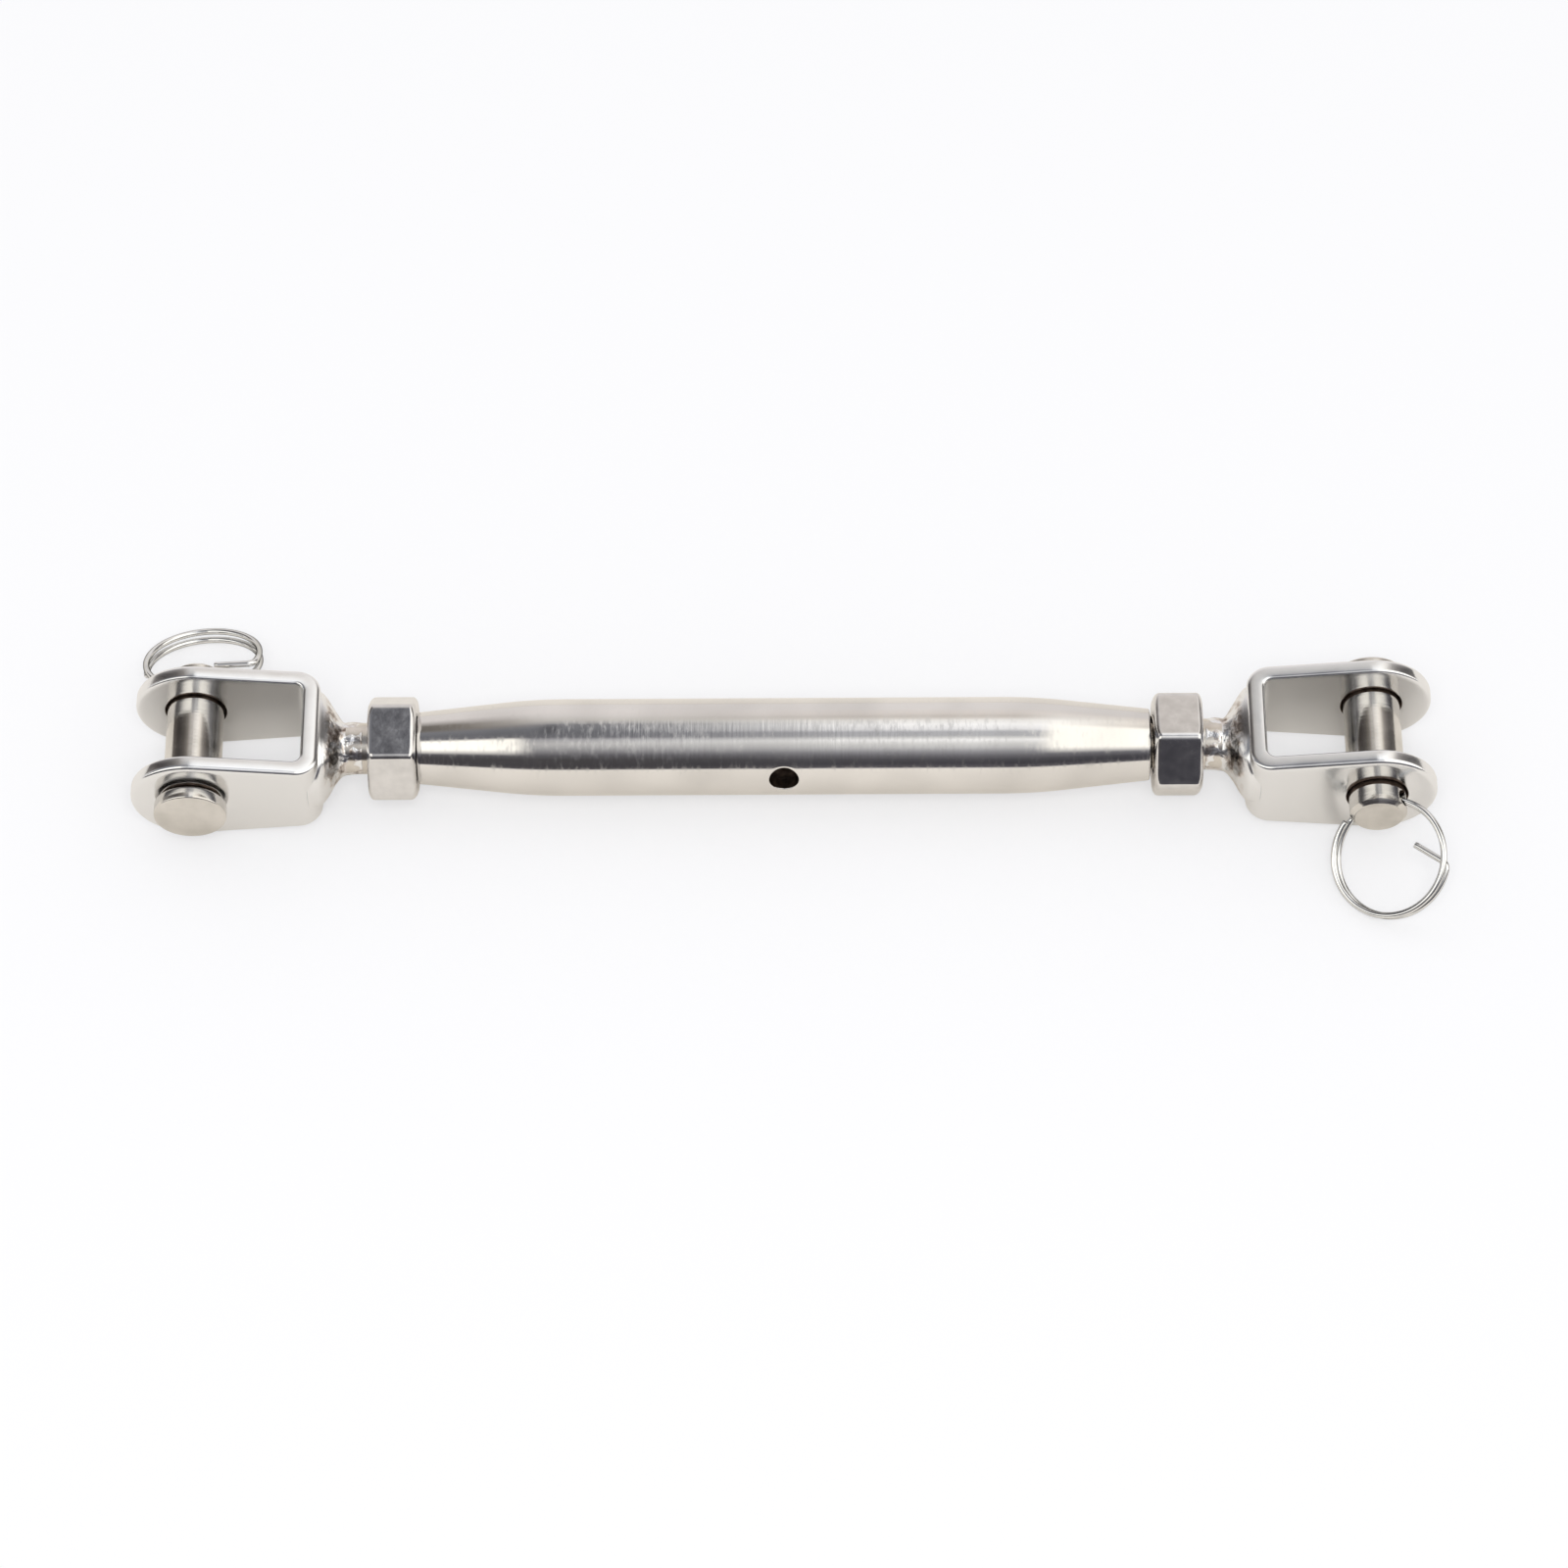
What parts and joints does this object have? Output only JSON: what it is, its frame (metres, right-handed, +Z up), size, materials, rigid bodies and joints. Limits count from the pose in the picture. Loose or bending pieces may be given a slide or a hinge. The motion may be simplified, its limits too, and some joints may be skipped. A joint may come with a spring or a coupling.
{
  "type": "closed body turnbuckle",
  "caption": "Closed body turnbuckle: a tubular barrel screwed onto opposite-handed studs, with lock nuts, jaw forks, clevis pins and split rings.",
  "frame": {"origin": "middle of the barrel, on its axis, where the cross hole passes", "axes": "+X along the barrel towards the right-hand threaded end, +Z up with the forks' pins lying level along Y"},
  "size_m": [0.1351, 0.0373, 0.0124],
  "materials": {
    "barrel": "mirror polished stainless steel",
    "left_lock_nut": "mirror polished stainless steel",
    "left_stud": "mirror polished stainless steel",
    "left_fork": "mirror polished stainless steel",
    "left_clevis_pin": "mirror polished stainless steel",
    "left_split_ring": "mirror polished stainless steel",
    "right_lock_nut": "mirror polished stainless steel",
    "right_stud": "mirror polished stainless steel",
    "right_fork": "mirror polished stainless steel",
    "right_clevis_pin": "mirror polished stainless steel",
    "right_split_ring": "mirror polished stainless steel"
  },
  "bodies": {
    "barrel": {"barrel": "barrel"},
    "left_lock_nut": {"left_lock_nut": "left_lock_nut"},
    "left_end": {"left_stud": "left_stud", "left_fork": "left_fork"},
    "left_pin": {"left_clevis_pin": "left_clevis_pin"},
    "left_ring": {"left_split_ring": "left_split_ring"},
    "right_lock_nut": {"right_lock_nut": "right_lock_nut"},
    "right_end": {"right_stud": "right_stud", "right_fork": "right_fork"},
    "right_pin": {"right_clevis_pin": "right_clevis_pin"},
    "right_ring": {"right_split_ring": "right_split_ring"}
  },
  "joints": [
    {"name": "left_nut_turn", "type": "hinge", "parent": "barrel", "child": "left_lock_nut", "pos_m": [-0.0378, 0, 0], "axis": [1, 0, 0], "range_deg": [0, 9000]},
    {"name": "left_end_travel", "type": "slide", "parent": "left_lock_nut", "child": "left_end", "axis": [-1, 0, 0], "range_m": [0, 0.025]},
    {"name": "right_nut_turn", "type": "hinge", "parent": "barrel", "child": "right_lock_nut", "pos_m": [0.0378, 0, 0], "axis": [1, 0, 0], "range_deg": [0, 9000]},
    {"name": "right_end_travel", "type": "slide", "parent": "right_lock_nut", "child": "right_end", "axis": [1, 0, 0], "range_m": [0, 0.025]},
    {"name": "left_pin_turn", "type": "hinge", "parent": "left_end", "child": "left_pin", "pos_m": [-0.06105, 0, 0], "axis": [0, 1, 0], "continuous": true},
    {"name": "left_ring_swing", "type": "hinge", "parent": "left_pin", "child": "left_ring", "pos_m": [-0.06105, 0.00773, 0], "axis": [-0.9986, 0, -0.0523], "range_deg": [-102.9, 47.1]},
    {"name": "right_pin_turn", "type": "hinge", "parent": "right_end", "child": "right_pin", "pos_m": [0.06105, 0, 0], "axis": [0, 1, 0], "continuous": true},
    {"name": "right_ring_swing", "type": "hinge", "parent": "right_pin", "child": "right_ring", "pos_m": [0.06105, -0.00773, 0], "axis": [0.8572, 0, 0.515], "range_deg": [-98.5, 51.5]}
  ],
  "couplings": [
    {"joint": "left_nut_turn", "follows": "left_end_travel", "rad_per_m": 6283.2},
    {"joint": "right_nut_turn", "follows": "left_end_travel", "rad_per_m": 6283.2},
    {"joint": "right_end_travel", "follows": "left_end_travel", "ratio": 1}
  ]
}
